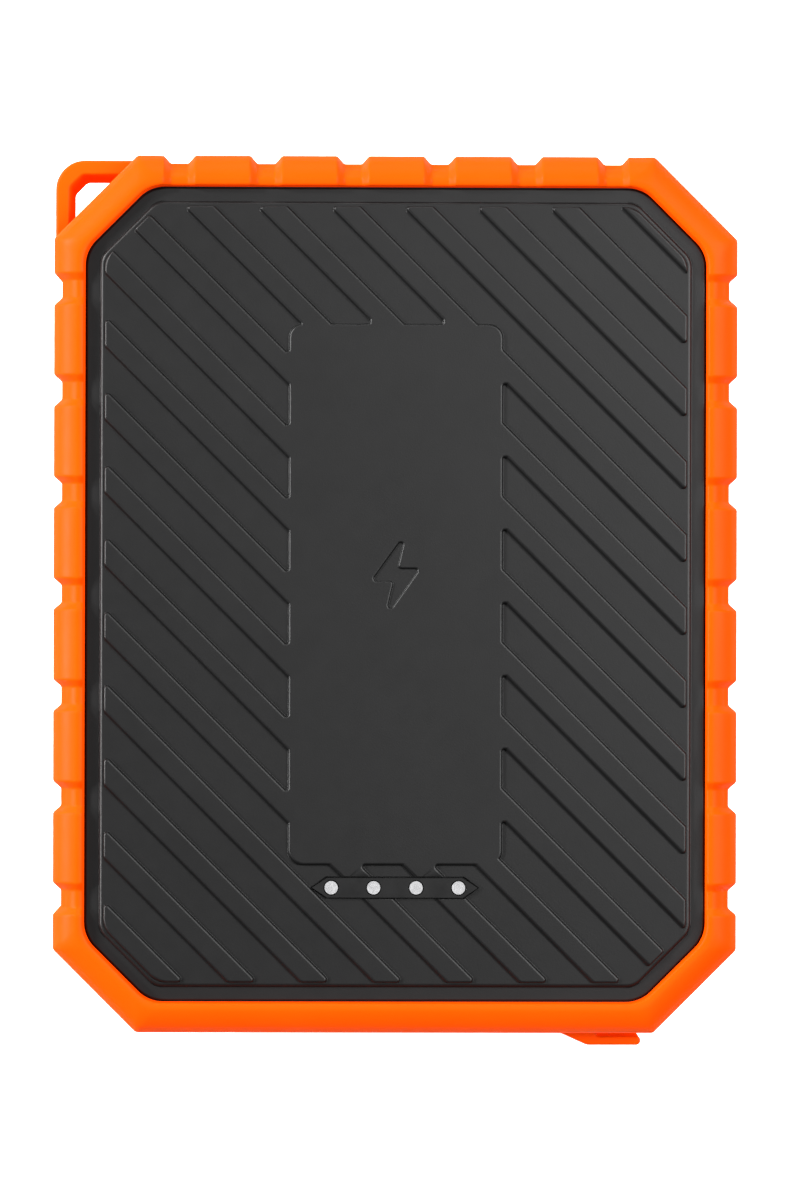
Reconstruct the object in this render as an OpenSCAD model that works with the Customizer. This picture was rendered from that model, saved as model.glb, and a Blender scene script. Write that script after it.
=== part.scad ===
// Rugged power bank: a tub and a lid in a notched rubber bumper, two pouch cells,
// a charging board, a hinged port flap and a side button.
// It lies on its rear face: X across, Y along, Z through the thickness. Millimetres.

/* [Overall size] */
// Width across the bumper
body_w = 93; // [92:0.5:96]
// Length of the bumper, without the pull tab
body_l = 119.3; // [118:0.1:122]
// Thickness from the rear face to the bumper's crest
body_t = 24; // [24:0.1:24.6]
// Leg of the 45 degree corner chamfer
corner_leg = 11.3; // [10.8:0.1:12]
// Radius between each chamfer and its sides, on the outside
corner_r = 0.8; // [0.6:0.1:1.5]
// The same radius round the front opening
opening_r = 3.2; // [2.5:0.1:4]

/* [Bumper] */
// Thickness of the bumper's side wall
bumper_wall = 3.6; // [3.4:0.1:3.8]
// Width of the bumper's front lip, from outside to opening
bumper_band = 4.25; // [4.1:0.05:4.5]
// Distance between notches along the long sides
side_pitch = 13.8; // [13.4:0.1:14.2]
// Distance between notches along the top edge
top_pitch = 11.8; // [11.4:0.1:12]
// Depth of a notch
notch_depth = 1.1; // [0.6:0.1:1.2]
// Width of a notch at its mouth
notch_mouth = 4.3; // [3.8:0.1:4.8]
// Width of a notch at its floor
notch_floor = 2.4; // [1.6:0.1:2.6]
// Depth of the channel that a notch leaves in the front lip
channel_depth = 0.7; // [0.4:0.1:0.9]

/* [Lanyard loop] */
// Thickness of the loop's strap
loop_t = 2; // [1.8:0.1:2.4]
// Height of the strap through the thickness
loop_h = 12.5; // [10:0.5:14]
// Height of the strap's rear edge above the rear face
loop_z = 5.4; // [4.5:0.1:6.5]
// Radius of the loop's outer corner
loop_r = 4; // [3:0.5:5]

/* [Covers] */
// Height of the parting line between the tub and the lid
split_z = 19; // [19:0.1:19.2]
// Thickness of the cover walls
cover_wall = 1.8; // [1.7:0.1:2]
// Height of the front cover's low level below the bumper's crest
low_drop = 1.1; // [1:0.1:1.3]
// Height of the raised bands and plate over the low level
relief = 0.5; // [0.3:0.1:0.6]
// Inset of the cover's face from the outside of the bumper
face_inset = 6.55; // [6.4:0.05:6.8]
// Distance from one raised band to the next, square to them
band_pitch = 7.01; // [6.61:0.02:7.21]
// Width of a raised band
band_w = 2.8; // [2.4:0.05:3.2]
// Offset of the band through the middle from the centre
band_shift = 4.23; // [3.43:0.1:5.03]
// Width of the centre plate
plate_w = 28.8; // [26.3:0.5:30.8]
// Length of the centre plate
plate_l = 73.2; // [68.2:0.5:74.2]
// Radius of the plate's corners
plate_r = 1.8; // [1:0.1:2.5]
// Height of the lightning bolt in the plate
mark_h = 12.4; // [8:0.2:16]
// Distance of the bolt above the centre
mark_y = 2.6; // [-10:0.2:15]

/* [Indicator] */
// Distance between the indicator windows
led_pitch = 5.76; // [5.3:0.02:5.9]
// Radius of a window
window_r = 0.9; // [0.8:0.02:1]
// Length of the pointed strip
strip_l = 22.5; // [21.8:0.1:24]
// Width of the pointed strip
strip_w = 2.64; // [2.4:0.02:3.2]
// Distance of the strip below the centre
strip_y = 39.8; // [39.2:0.1:40]
// Width of the groove round the strip
strip_gap = 0.2; // [0.15:0.05:0.5]

/* [Port flap] */
// Height of the flap through the thickness
flap_h = 11.6; // [11:0.1:12]
// Thickness of the flap, skin and core together
flap_t = 2.8; // [2.7:0.1:2.9]
// Distance of the hinge left of the centre
hinge_x = 26; // [25.6:0.1:26.4]
// Distance of the flap's free end right of the centre
flap_end_x = 28.4; // [28.2:0.1:28.8]
// Radius of the hinge pin
pin_r = 0.75; // [0.6:0.05:0.8]
// Radial clearance between the pin and the flap's barrel
pin_clearance = 0.05; // [0.03:0.01:0.08]
// Distance of the pull tab's tip right of the centre
tab_end_x = 33.9; // [33:0.1:34]
// How far the pull tab stands out of the bottom edge
tab_proud = 2.2; // [2:0.1:2.4]

/* [Button] */
// Distance of the button below the centre
button_y = 34.8; // [34.6:0.1:35]
// Radius of the button's face
button_r = 3.3; // [3:0.1:3.4]
// Travel of the button
button_travel = 0.5; // [0.4:0.05:0.6]

/* [Electronics] */
// Height of the board's top surface above the rear face
pcb_top = 8.6; // [8.5:0.1:8.7]
// Thickness of the board
pcb_t = 1.6; // [1.2:0.1:1.6]
// Width of the two cells
cell_w = 76; // [70:0.5:76.5]
// Length of the two cells
cell_l = 68; // [64:0.5:68.5]
// Thickness of one cell
cell_t = 8; // [7.5:0.1:8]

/* [Hidden] */

$fn = 48;
eps = 0.01;
gap = 0.1;

orange = "darkorange";
black = "#2b2b2d";
steel = "silver";

half_w = body_w / 2;
half_l = body_l / 2;

// Levels through the thickness.
lip_z = body_t - 2.3;
low_z = body_t - low_drop;
rim_z = low_z - 0.5;
raised_z = low_z + relief;
flange_front_z = lip_z - gap;
flange_rear_z = 1.6;
roof_z = flange_front_z - 1;
roof_centre_z = roof_z + 0.5;
floor_z = 2.6;
floor_centre_z = 1.8;
strip_seat_z = raised_z - 1.2;
strip_point = 2.05;
window_gap = 0.15;

// Insets from the outside of the bumper.
cover_inset = bumper_wall;
cavity_inset = cover_inset + cover_wall;
rim_inset = bumper_band + 0.2;
pocket_inset = 8;

// The gasket's groove in the parting line, and the label on the rear face.
groove_w = 0.8;
groove_h = 0.8;
groove_inset = cover_inset + (cover_wall - groove_w) / 2;
label_w = 58;
label_l = 24;
label_y = 31;

// Screw places: six in the case and four in the board.
screw_places = [[-28, 51.2], [28, 51.2], [-38, -23.8], [38, -23.8], [-38, -45.5], [38, -45.5]];
pcb_places = [[-32, -30.5], [32, -30.5], [-28.5, -45], [28.5, -45]];
boss_r = 2.5;
boss_split_z = 6;
standoff_r = 2.2;
screw_r = 0.98;
screw_head_r = 1.9;
screw_tip_z = 12;
screw_seat_z = 1.6;

// The port flap and its frame.
flap_mid_z = 12;
flap_z0 = flap_mid_z - flap_h / 2;
flap_z1 = flap_mid_z + flap_h / 2;
skin_t = 2;
hinge = [-hinge_x, -half_l + flap_t / 2];
barrel_r = flap_t / 2;
barrel_h = 7.4;
ear_h = (flap_h - barrel_h) / 2 - 0.2;
flap_inner_y = -half_l + flap_t;
frame_face_y = flap_inner_y + 0.55;
frame_t = 1.5;
frame_x0 = hinge[0] - barrel_r;
frame_x1 = flap_end_x - 0.8;
frame_z0 = flap_z0 + 0.1;
frame_z1 = flap_z1 - 0.1;
pocket_x0 = hinge[0] - barrel_r - 0.3;
pocket_x1 = flap_end_x + 0.3;
pocket_relief = 1;
tab_h = 8;
tab_l = 12.4;
tab_gap = 1;

// The ports: each has its middle's X and Z.
port_mouth_y = frame_face_y + frame_t + gap;
usb_a_x = [-13, 5];
usb_a_size = [13.2, 13.8, 5.8];
usb_a_z = pcb_top + 0.3 + usb_a_size[2] / 2;
usb_c_x = 19.4;
usb_c_size = [8.94, 7.3, 3.26];
usb_c_z = pcb_top + 0.2 + usb_c_size[2] / 2;
sheet_t = 0.3;
tongue_recess = 2.2;

// The board and the cells.
pcb_half_w = 38;
pcb_y0 = port_mouth_y + 0.8;
pcb_y1 = -27;
pcb_corner_sum = 78.5;
inductor_place = [-26.5, -37];
board_y = -23;
cell_y0 = -20.5;
terrace_l = 3.5;
pad_t = 0.9;
lower_cell_z = floor_centre_z + 1.2;
upper_cell_z = lower_cell_z + cell_t + 1;

// The button, its switch and the plunger between them.
button_z = pcb_top + 1.8;
button_face_x = half_w - 0.1;
button_flange_x = half_w - cavity_inset - gap;
button_flange_t = 0.8;
switch_x0 = 34.4;
switch_x1 = 38.2;
switch_h = 3.4;
plunger_r = 0.9;

// Four steps between one direction and the next round each corner of an octagon.
arc_steps = 4;

function unit(a) = [cos(a), sin(a)];

// Points of an octagon with 45 degree corners, each corner rounded by r.
function octagon(hx, hy, leg, r) =
    let (v = [[hx, hy - leg], [hx - leg, hy], [leg - hx, hy], [-hx, hy - leg],
              [-hx, leg - hy], [leg - hx, -hy], [hx - leg, -hy], [hx, leg - hy]])
    [for (k = [0:7], i = [0:arc_steps])
        let (n0 = unit(45 * k), n1 = unit(45 * k + 45), c = v[k] - r * (n0 + n1) / (1 + n0 * n1))
        c + r * unit(45 * k + 45 * i / arc_steps)];

// Points of a rectangle with rounded corners, centred.
function rounded(w, l, r, steps = 6) =
    [for (k = [0:3], i = [0:steps])
        let (s = [[1, 1], [-1, 1], [-1, -1], [1, -1]][k])
        [s[0] * (w / 2 - r), s[1] * (l / 2 - r)] + r * unit(90 * k + 90 * i / steps)];

// The outline of the bumper, moved inwards by d.
function outline_points(d) =
    let (r = corner_r + (opening_r - corner_r) * min(d / bumper_band, 1))
    octagon(half_w - d, half_l - d, corner_leg - d * (2 - sqrt(2)), r);

// The outline as a plane figure.
module outline(d) {
    polygon(outline_points(d));
}

// The outline moved inwards by d, as a plate between two heights.
module slab(d, z0, z1) {
    translate([0, 0, z0]) linear_extrude(z1 - z0) outline(d);
}

// A solid whose outline has a given inset at each given height.
module stack(steps) {
    n = 8 * (arc_steps + 1);
    last = len(steps) - 1;
    points = [for (s = steps, p = outline_points(s[0])) [p[0], p[1], 0]];
    raised = [for (k = [0:last], i = [0:n - 1]) points[k * n + i] + [0, 0, steps[k][1]]];
    sides = [for (k = [0:last - 1], i = [0:n - 1])
        let (j = (i + 1) % n) [k * n + i, k * n + n + i, k * n + n + j, k * n + j]];
    polyhedron(raised, concat([[for (i = [0:n - 1]) i]], sides, [[for (i = [n - 1:-1:0]) last * n + i]]));
}

// A box between two corners.
module block(a, b) {
    translate(a) cube(b - a);
}

// Copies of a piece at each of the given places.
module at(places) {
    for (p = places) translate([p[0], p[1], 0]) children();
}

// A block with rounded upright edges, centred on the origin.
module rounded_block(w, l, h, r) {
    linear_extrude(h) polygon(rounded(w, l, r));
}

// A cylinder along -Y, its back at the origin.
module along_y(r, h) {
    rotate([90, 0, 0]) cylinder(r = r, h = h);
}

// A cylinder along +X, its back at the origin.
module along_x(r, h) {
    rotate([0, 90, 0]) cylinder(r = r, h = h);
}

// ---- Bumper -------------------------------------------------------------

// The outside of the bumper: each pair is an inset and the height it is reached at.
bumper_steps = [[1.9, 0], [0.8, 0.6], [0.2, 1.6], [0, 2.8], [0, body_t - 2.6], [0.15, body_t - 2.05],
    [0.5, body_t - 1.5], [1.05, body_t - 0.9], [1.8, body_t - 0.4], [2.7, body_t]];

// The front opening, flared from its narrow lip up to the crest.
opening_steps = [[bumper_band, lip_z - 1], [bumper_band, body_t - 0.9], [bumper_band - 0.4, body_t - 0.4],
    [bumper_band - 1.35, body_t + 0.01], [bumper_band - 1.35, body_t + 1]];

// A strap that closes the upper left corner.
module lanyard_loop() {
    reach = corner_leg + 1.5;
    inner_cut = 1.7;
    x0 = -half_w + 0.05;
    y1 = half_l - 0.4;
    arc = [for (i = [0:8]) [x0 + loop_r, y1 - loop_r] + loop_r * unit(180 - 90 * i / 8)];
    inside = [[x0 + reach, y1 - loop_t], [x0 + loop_t + inner_cut, y1 - loop_t],
              [x0 + loop_t, y1 - loop_t - inner_cut], [x0 + loop_t, y1 - reach]];
    translate([0, 0, loop_z]) linear_extrude(loop_h)
        polygon(concat([[x0, y1 - reach]], arc, [[x0 + reach, y1]], inside));
}

// A notch cut into an edge that lies along Y with its outside at X = 0.
module notch(width_in) {
    spread = (notch_mouth - notch_floor) / 2 / notch_depth;
    out = 0.6;
    wide = notch_mouth / 2 + out * spread;
    translate([0, 0, -1]) linear_extrude(body_t + 2)
        polygon([[out, -wide], [out, wide], [-notch_depth, notch_floor / 2],
            [-notch_depth, -notch_floor / 2]]);
    translate([out, 0, body_t]) rotate([0, -90, 0]) linear_extrude(width_in + out)
        polygon([[out, -wide], [out, wide], [-channel_depth, notch_floor / 2],
            [-channel_depth, -notch_floor / 2]]);
}

module notches() {
    for (side = [0, 1], k = [-3:3]) {
        rotate([0, 0, 180 * side]) translate([half_w, k * side_pitch, 0]) notch(bumper_band + 0.3);
    }
    for (k = [-2.5:2.5]) {
        translate([k * top_pitch, half_l, 0]) rotate([0, 0, 90]) notch(bumper_band + 0.3);
    }
}

module flap_pocket() {
    z0 = flap_z0 - 0.2;
    z1 = flap_z1 + 0.2;
    block([pocket_x0, -half_l - 1, z0], [pocket_x1, -half_l + bumper_wall + 1, z1]);
    translate([pocket_x0, -half_l, z0]) linear_extrude(z1 - z0)
        polygon([[eps, pocket_relief], [-pocket_relief, 0], [-pocket_relief, -1], [eps, -1]]);
}

module bumper() {
    color(orange) difference() {
        union() {
            stack(bumper_steps);
            lanyard_loop();
        }
        slab(bumper_wall - gap, flange_rear_z - gap, lip_z);
        stack(opening_steps);
        slab(bumper_band, -1, flange_rear_z);
        notches();
        flap_pocket();
        translate([half_w - bumper_wall - 1, -button_y, button_z]) along_x(button_r + 0.25, bumper_wall + 2);
    }
}

// ---- Covers -------------------------------------------------------------

// Every raised band, as one plane figure.
module band_stripes() {
    for (k = [-10:9]) {
        rotate([0, 0, 45]) translate([band_shift + k * band_pitch - band_w / 2, -100]) square([band_w, 200]);
    }
}

// The strip's outline with its two points, moved outwards by grow.
module strip_outline(grow) {
    l = strip_l / 2 + grow;
    w = strip_w / 2 + grow;
    x = l - strip_point;
    translate([0, -strip_y]) polygon([[l, 0], [x, w], [-x, w], [-l, 0], [-x, -w], [x, -w]]);
}

module raised_outline() {
    difference() {
        union() {
            intersection() {
                band_stripes();
                outline(face_inset + 0.5);
            }
            polygon(rounded(plate_w, plate_l, plate_r));
        }
        strip_outline(strip_gap);
    }
}

// A plain lightning bolt, sunk into the plate as a charging sign.
module bolt_mark() {
    translate([0, mark_y]) scale(mark_h / 2)
        polygon([[0.26, 1], [-0.56, -0.14], [-0.06, -0.14], [-0.26, -1], [0.56, 0.16], [0.06, 0.16]]);
}

module led_places() {
    for (k = [-1.5:1.5]) translate([k * led_pitch, -strip_y, 0]) children();
}

module front_cover() {
    boss_h = roof_centre_z - boss_split_z;
    color(black) difference() {
        union() {
            difference() {
                union() {
                    slab(cover_inset, split_z, flange_front_z);
                    slab(rim_inset, flange_front_z, rim_z);
                    slab(face_inset, rim_z, low_z);
                    translate([0, 0, low_z]) linear_extrude(relief) raised_outline();
                }
                slab(cavity_inset, split_z - 1, roof_z);
                slab(pocket_inset, roof_z - eps, roof_centre_z);
                translate([0, 0, raised_z - 0.3]) linear_extrude(1) bolt_mark();
                translate([0, 0, strip_seat_z]) linear_extrude(2) strip_outline(0.05);
                led_places() translate([0, 0, roof_z - 1]) cylinder(r = window_r + window_gap, h = 4);
            }
            at(screw_places) translate([0, 0, boss_split_z + gap]) cylinder(r = boss_r, h = boss_h);
        }
        at(screw_places) translate([0, 0, boss_split_z])
            cylinder(r = screw_r + 0.02, h = screw_tip_z - boss_split_z + 1);
    }
}

module rear_cover() {
    sunk_z = floor_centre_z - 1;
    color(black) difference() {
        union() {
            difference() {
                union() {
                    slab(rim_inset, 0, flange_rear_z);
                    slab(cover_inset, flange_rear_z, split_z - gap);
                }
                slab(cavity_inset, floor_z, split_z + 1);
                slab(pocket_inset, floor_centre_z, floor_z + eps);
            }
            at(screw_places) translate([0, 0, sunk_z]) cylinder(r = boss_r, h = boss_split_z - sunk_z);
            at(pcb_places) translate([0, 0, sunk_z])
                cylinder(r = standoff_r, h = pcb_top - pcb_t - 0.05 - sunk_z);
        }
        at(screw_places) {
            translate([0, 0, -1]) cylinder(r = screw_head_r + 0.2, h = screw_seat_z + 1);
            cylinder(r = screw_r + 0.15, h = boss_split_z + 1);
        }
        at(pcb_places) translate([0, 0, 4]) cylinder(r = 0.8, h = 5);
        gasket_groove();
        block([frame_x0 - gap, -half_l, frame_z0 - gap],
            [frame_x1 + gap, -half_l + cavity_inset + 1, frame_z1 + gap]);
        translate([half_w - cavity_inset - 1, -button_y, button_z]) along_x(button_r + 0.2, cover_wall + 2);
        translate([0, -label_y, -1]) rounded_block(label_w + 0.2, label_l + 0.2, 1.3, 2.1);
    }
}

module gasket_groove() {
    difference() {
        slab(groove_inset, split_z - gap - groove_h, split_z);
        slab(groove_inset + groove_w, split_z - gap - groove_h - 1, split_z + 1);
    }
}

module cover_gasket() {
    color("dimgray") difference() {
        slab(groove_inset + 0.04, split_z - gap - groove_h + 0.02, split_z - 0.02);
        slab(groove_inset + groove_w - 0.04, split_z - 3, split_z + 1);
    }
}

module indicator_strip() {
    z0 = strip_seat_z + 0.02;
    color(black) difference() {
        translate([0, 0, z0]) linear_extrude(raised_z - z0) strip_outline(0);
        led_places() translate([0, 0, strip_seat_z - 1]) cylinder(r = window_r + window_gap, h = 4);
    }
}

module light_guide() {
    foot_z = pcb_top + 1.1;
    color("white") union() {
        led_places() translate([0, 0, foot_z]) cylinder(r = window_r, h = raised_z - 0.05 - foot_z);
        translate([0, -strip_y, roof_z - 1.4]) rounded_block(3.6 * led_pitch, 3, 1.2, 1.2);
    }
}

module rear_label() {
    color("dimgray") translate([0, -label_y, 0.05]) rounded_block(label_w, label_l, 0.22, 2);
}

module cross_recess(r, depth) {
    for (a = [0, 90]) rotate([0, 0, a]) translate([-r, -r / 4, 0]) cube([2 * r, r / 2, depth]);
}

module case_screws() {
    head_z = 0.3;
    color(steel) at(screw_places) difference() {
        union() {
            translate([0, 0, head_z]) cylinder(r = screw_head_r, h = screw_seat_z - head_z - 0.02);
            translate([0, 0, 1]) cylinder(r = screw_r, h = screw_tip_z - 1);
        }
        translate([0, 0, head_z - 0.1]) cross_recess(1.1, 0.8);
    }
}

// ---- Port flap ----------------------------------------------------------

module port_frame() {
    z_low = frame_z0;
    z_high = frame_z1 - ear_h;
    y0 = frame_face_y;
    y1 = frame_face_y + frame_t;
    color(black) difference() {
        union() {
            block([frame_x0, y0, frame_z0], [frame_x1, y1, frame_z1]);
            for (z = [z_low, z_high]) {
                translate([hinge[0], hinge[1], z]) cylinder(r = barrel_r, h = ear_h);
                block([hinge[0] - barrel_r, hinge[1], z], [hinge[0] + barrel_r, y0 + 0.5, z + ear_h]);
            }
        }
        translate([hinge[0], hinge[1], frame_z0 + 0.5]) cylinder(r = pin_r + 0.02, h = flap_h);
        for (x = usb_a_x) {
            block([x - 6.35, y0 - 1, usb_a_z - 2.65], [x + 6.35, y1 + 1, usb_a_z + 2.65]);
        }
        translate([usb_c_x, y1 + 1, usb_c_z]) rotate([90, 0, 0]) linear_extrude(frame_t + 2)
            polygon(rounded(8.6, 2.9, 1.44));
    }
}

module flap_hinge_pin() {
    color(steel) translate([hinge[0], hinge[1], frame_z0 + 0.52])
        cylinder(r = pin_r, h = frame_z1 - frame_z0 - 0.54);
}

module port_flap() {
    x0 = hinge[0] + barrel_r + 0.2;
    y0 = -half_l;
    tab_x0 = tab_end_x - tab_l;
    y_in = y0 - tab_gap;
    y_out = y0 - tab_proud;
    outer_corner = [for (a = [-90:18:0]) [tab_end_x - 0.7, y_out + 0.7] + 0.7 * unit(a)];
    inner_corner = [for (a = [0:18:90]) [tab_end_x - 0.35, y_in - 0.35] + 0.35 * unit(a)];
    slope = [[tab_x0, y0 + 0.5], [tab_x0, y0], [tab_x0 + 4.6, y_out + 0.3], [tab_x0 + 5.4, y_out]];
    root = [[flap_end_x - 0.5, y_in], [flap_end_x - 0.5, y0 + 0.5]];
    color(orange) union() {
        block([x0, y0, flap_z0], [flap_end_x, y0 + skin_t, flap_z1]);
        translate([0, 0, flap_mid_z - tab_h / 2]) linear_extrude(tab_h)
            polygon(concat(slope, outer_corner, inner_corner, root));
    }
}

module flap_core() {
    y0 = -half_l + skin_t + 0.05;
    x0 = hinge[0] + barrel_r + 0.6;
    barrel_z = flap_mid_z - barrel_h / 2;
    color(black) difference() {
        union() {
            block([x0, y0, flap_z0 + 0.4], [flap_end_x - 0.8, flap_inner_y, flap_z1 - 0.4]);
            block([hinge[0], y0, barrel_z], [x0 + 1, flap_inner_y, barrel_z + barrel_h]);
            translate([hinge[0], hinge[1], barrel_z]) cylinder(r = barrel_r, h = barrel_h);
        }
        translate([hinge[0], hinge[1], barrel_z - 1]) cylinder(r = pin_r + pin_clearance, h = barrel_h + 2);
    }
}

module flap_seal() {
    x0 = -22.4;
    x1 = 26.8;
    edge = 0.9;
    y0 = flap_inner_y + 0.02;
    y1 = frame_face_y - 0.03;
    z0 = flap_z0 + 1;
    z1 = flap_z1 - 1;
    color("dimgray") difference() {
        block([x0, y0, z0], [x1, y1, z1]);
        block([x0 + edge, y0 - 1, z0 + edge], [x1 - edge, y1 + 1, z1 - edge]);
    }
}

// ---- Button -------------------------------------------------------------

module button_cap() {
    color(black) translate([0, -button_y, button_z]) union() {
        translate([button_flange_x - eps, 0, 0]) along_x(button_r, button_face_x - button_flange_x + eps);
        translate([button_flange_x - button_flange_t, 0, 0]) along_x(button_r + 0.7, button_flange_t);
        translate([switch_x1 + 1.55, 0, 0]) along_x(1.2, button_flange_x - switch_x1 - 1.55);
    }
}

module tact_switch() {
    z0 = button_z - switch_h / 2;
    color("dimgray") difference() {
        block([switch_x0, -button_y - 3, z0], [switch_x1, -button_y + 3, z0 + switch_h]);
        translate([switch_x1 - 1.6, -button_y, button_z]) along_x(plunger_r + 0.06, 2);
    }
}

module switch_plunger() {
    back = 1;
    color("ivory") translate([switch_x1 - back, -button_y, button_z]) along_x(plunger_r, back + 1.5);
}

// ---- Board --------------------------------------------------------------

module main_pcb() {
    s = pcb_corner_sum;
    color("darkgreen") difference() {
        translate([0, 0, pcb_top - pcb_t]) linear_extrude(pcb_t)
            polygon([[-pcb_half_w, pcb_y1], [-pcb_half_w, pcb_half_w - s], [-s - pcb_y0, pcb_y0],
                [s + pcb_y0, pcb_y0], [pcb_half_w, pcb_half_w - s], [pcb_half_w, pcb_y1]]);
        at(pcb_places) cylinder(r = 1.1, h = body_t);
    }
}

module pcb_screws() {
    color(steel) at(pcb_places) difference() {
        union() {
            translate([0, 0, pcb_top + 0.02]) cylinder(r = 1.6, h = 1);
            translate([0, 0, 4.2]) cylinder(r = 0.78, h = pcb_top - 4);
        }
        translate([0, 0, pcb_top + 0.5]) cross_recess(1, 1);
    }
}

// ---- Ports --------------------------------------------------------------

module usb_a_shells() {
    s = usb_a_size;
    color(steel) for (x = usb_a_x) translate([x, port_mouth_y, usb_a_z]) difference() {
        translate([-s[0] / 2, 0, -s[2] / 2]) cube(s);
        translate([-s[0] / 2 + sheet_t, -1, -s[2] / 2 + sheet_t])
            cube([s[0] - 2 * sheet_t, s[1] + 2, s[2] - 2 * sheet_t]);
    }
}

module usb_a_tongues() {
    s = usb_a_size;
    back = 3;
    color("white") for (x = usb_a_x) translate([x, port_mouth_y, usb_a_z]) union() {
        block([-s[0] / 2 + sheet_t + 0.05, s[1] - back, -s[2] / 2 + sheet_t + 0.05],
            [s[0] / 2 - sheet_t - 0.05, s[1], s[2] / 2 - sheet_t - 0.05]);
        block([-5.55, tongue_recess, 0.2], [5.55, s[1] - back + 0.5, 2]);
    }
}

module usb_a_contacts() {
    color("gold") for (x = usb_a_x, k = [-1.5:1.5]) translate([x + k * 2.3, port_mouth_y, usb_a_z])
        block([-0.5, tongue_recess + 0.6, 0.02], [0.5, usb_a_size[1] - 3.3, 0.18]);
}

module usb_c_shell() {
    s = usb_c_size;
    color(steel) translate([usb_c_x, port_mouth_y, usb_c_z]) rotate([-90, 0, 0]) difference() {
        rounded_block(s[0], s[2], s[1], 1.6);
        translate([0, 0, -1]) rounded_block(s[0] - 2 * sheet_t, s[2] - 2 * sheet_t, s[1] + 2, 1.3);
    }
}

module usb_c_tongue() {
    s = usb_c_size;
    back = 1.2;
    color(black) translate([usb_c_x, port_mouth_y, usb_c_z]) union() {
        translate([0, s[1] - back, 0]) rotate([-90, 0, 0]) rounded_block(s[0] - 0.8, s[2] - 0.8, back, 1.2);
        block([-3.35, 0.8, -0.35], [3.35, s[1] - back + 0.4, 0.35]);
    }
}

module usb_c_contacts() {
    color("gold") for (side = [-1, 1], k = [-5.5:5.5])
        translate([usb_c_x + k * 0.5, port_mouth_y, usb_c_z + side * 0.42])
            block([-0.13, 1.2, -0.05], [0.13, usb_c_size[1] - 1.4, 0.05]);
}

// ---- Components on the board --------------------------------------------

module chip(x, y, w, l, h) {
    translate([x - w / 2, y - l / 2, pcb_top + 0.03]) cube([w, l, h]);
}

module indicator_leds() {
    color("ivory") led_places() translate([-0.8, -0.6, pcb_top + 0.03]) cube([1.6, 1.2, 0.7]);
}

module controller_ic() {
    color(black) chip(21, -36, 6, 6, 0.9);
}

module power_mosfets() {
    color(black) for (k = [0:3]) chip(-14 + 5 * k, -31, 3.3, 3.3, 0.9);
}

module ceramic_capacitors() {
    color("tan") for (k = [0:3]) {
        chip(13.5, -30.5 - 2.6 * k, 3.2, 1.6, 1.4);
        chip(-17.4, -34.2 - 2 * k, 2, 1.25, 1.2);
    }
}

module polymer_capacitors() {
    color(steel) for (y = [-31.2, -38.2]) translate([27.4 + (y < -35 ? 1.2 : -1), y, pcb_top + 0.03])
        cylinder(r = 2.6, h = 5.6);
}

module inductor_core() {
    color("dimgray") at([inductor_place]) translate([0, 0, pcb_top + 0.03]) union() {
        cylinder(r = 5, h = 1);
        translate([0, 0, 0.5]) cylinder(r = 2.4, h = 4);
        translate([0, 0, 4]) cylinder(r = 5, h = 1);
    }
}

module inductor_winding() {
    color("chocolate") at([inductor_place]) translate([0, 0, pcb_top + 1.1]) rotate_extrude()
        polygon([[2.5, 0], [4.4, 0], [4.6, 0.3], [4.6, 2.5], [4.4, 2.8], [2.5, 2.8]]);
}

// ---- Cells --------------------------------------------------------------

// A pouch cell: a soft-cornered block with a thin terrace at its tab end.
module cell(z) {
    body_y = cell_y0 + terrace_l;
    color("lightsteelblue") union() {
        translate([0, body_y + (cell_l - terrace_l) / 2, z])
            rounded_block(cell_w, cell_l - terrace_l, cell_t, 1.8);
        translate([0, 0, z + cell_t / 2])
            block([-cell_w / 2 + 1, cell_y0, -0.6], [cell_w / 2 - 1, body_y + 1, 0.6]);
    }
}

module lower_cell() {
    cell(lower_cell_z);
}

module upper_cell() {
    cell(upper_cell_z);
}

module cell_tabs() {
    tab_w = 5;
    color(steel) for (x = [-14, 14], z = [lower_cell_z, upper_cell_z])
        translate([x, 0, z + cell_t / 2])
            block([-tab_w / 2, board_y + 0.45, -0.15], [tab_w / 2, cell_y0 - 0.05, 0.15]);
}

module protection_board() {
    color("darkgreen")
        block([-22, board_y - 0.4, lower_cell_z + 1.5], [22, board_y + 0.4, upper_cell_z + cell_t - 1.5]);
}

module thermistor() {
    color("black") translate([-2, cell_y0 - 0.95, lower_cell_z + cell_t / 2]) along_x(0.8, 4);
}

// A wire from the protection board, bent down onto the main board.
module lead(x) {
    wire_r = 0.7;
    bend_r = 1.6;
    z = pcb_top + 2;
    y = board_y - 3.4;
    translate([x, board_y - 0.45, z]) along_y(wire_r, 2.95);
    translate([x, y, z - bend_r]) rotate([90, 0, -90]) rotate_extrude(angle = 90)
        translate([bend_r, 0]) circle(wire_r);
    translate([x, y - bend_r, pcb_top + 0.05]) cylinder(r = wire_r, h = z - bend_r - pcb_top - 0.05);
}

module positive_lead() {
    color("red") lead(16);
}

module negative_lead() {
    color("black") lead(-16);
}

module cell_pads() {
    mid_y = cell_y0 + terrace_l + (cell_l - terrace_l) / 2;
    color("gray") for (z = [lower_cell_z - 1.1, lower_cell_z + cell_t + 0.05, upper_cell_z + cell_t + 0.05])
        translate([0, mid_y, z]) rounded_block(66, 54, pad_t, 3);
}

module insulation_sheet() {
    color("lightyellow") difference() {
        translate([0, -39, floor_centre_z + 0.03]) rounded_block(66, 22, 0.25, 2);
        at(pcb_places) cylinder(r = standoff_r + 0.3, h = body_t);
    }
}

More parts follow.
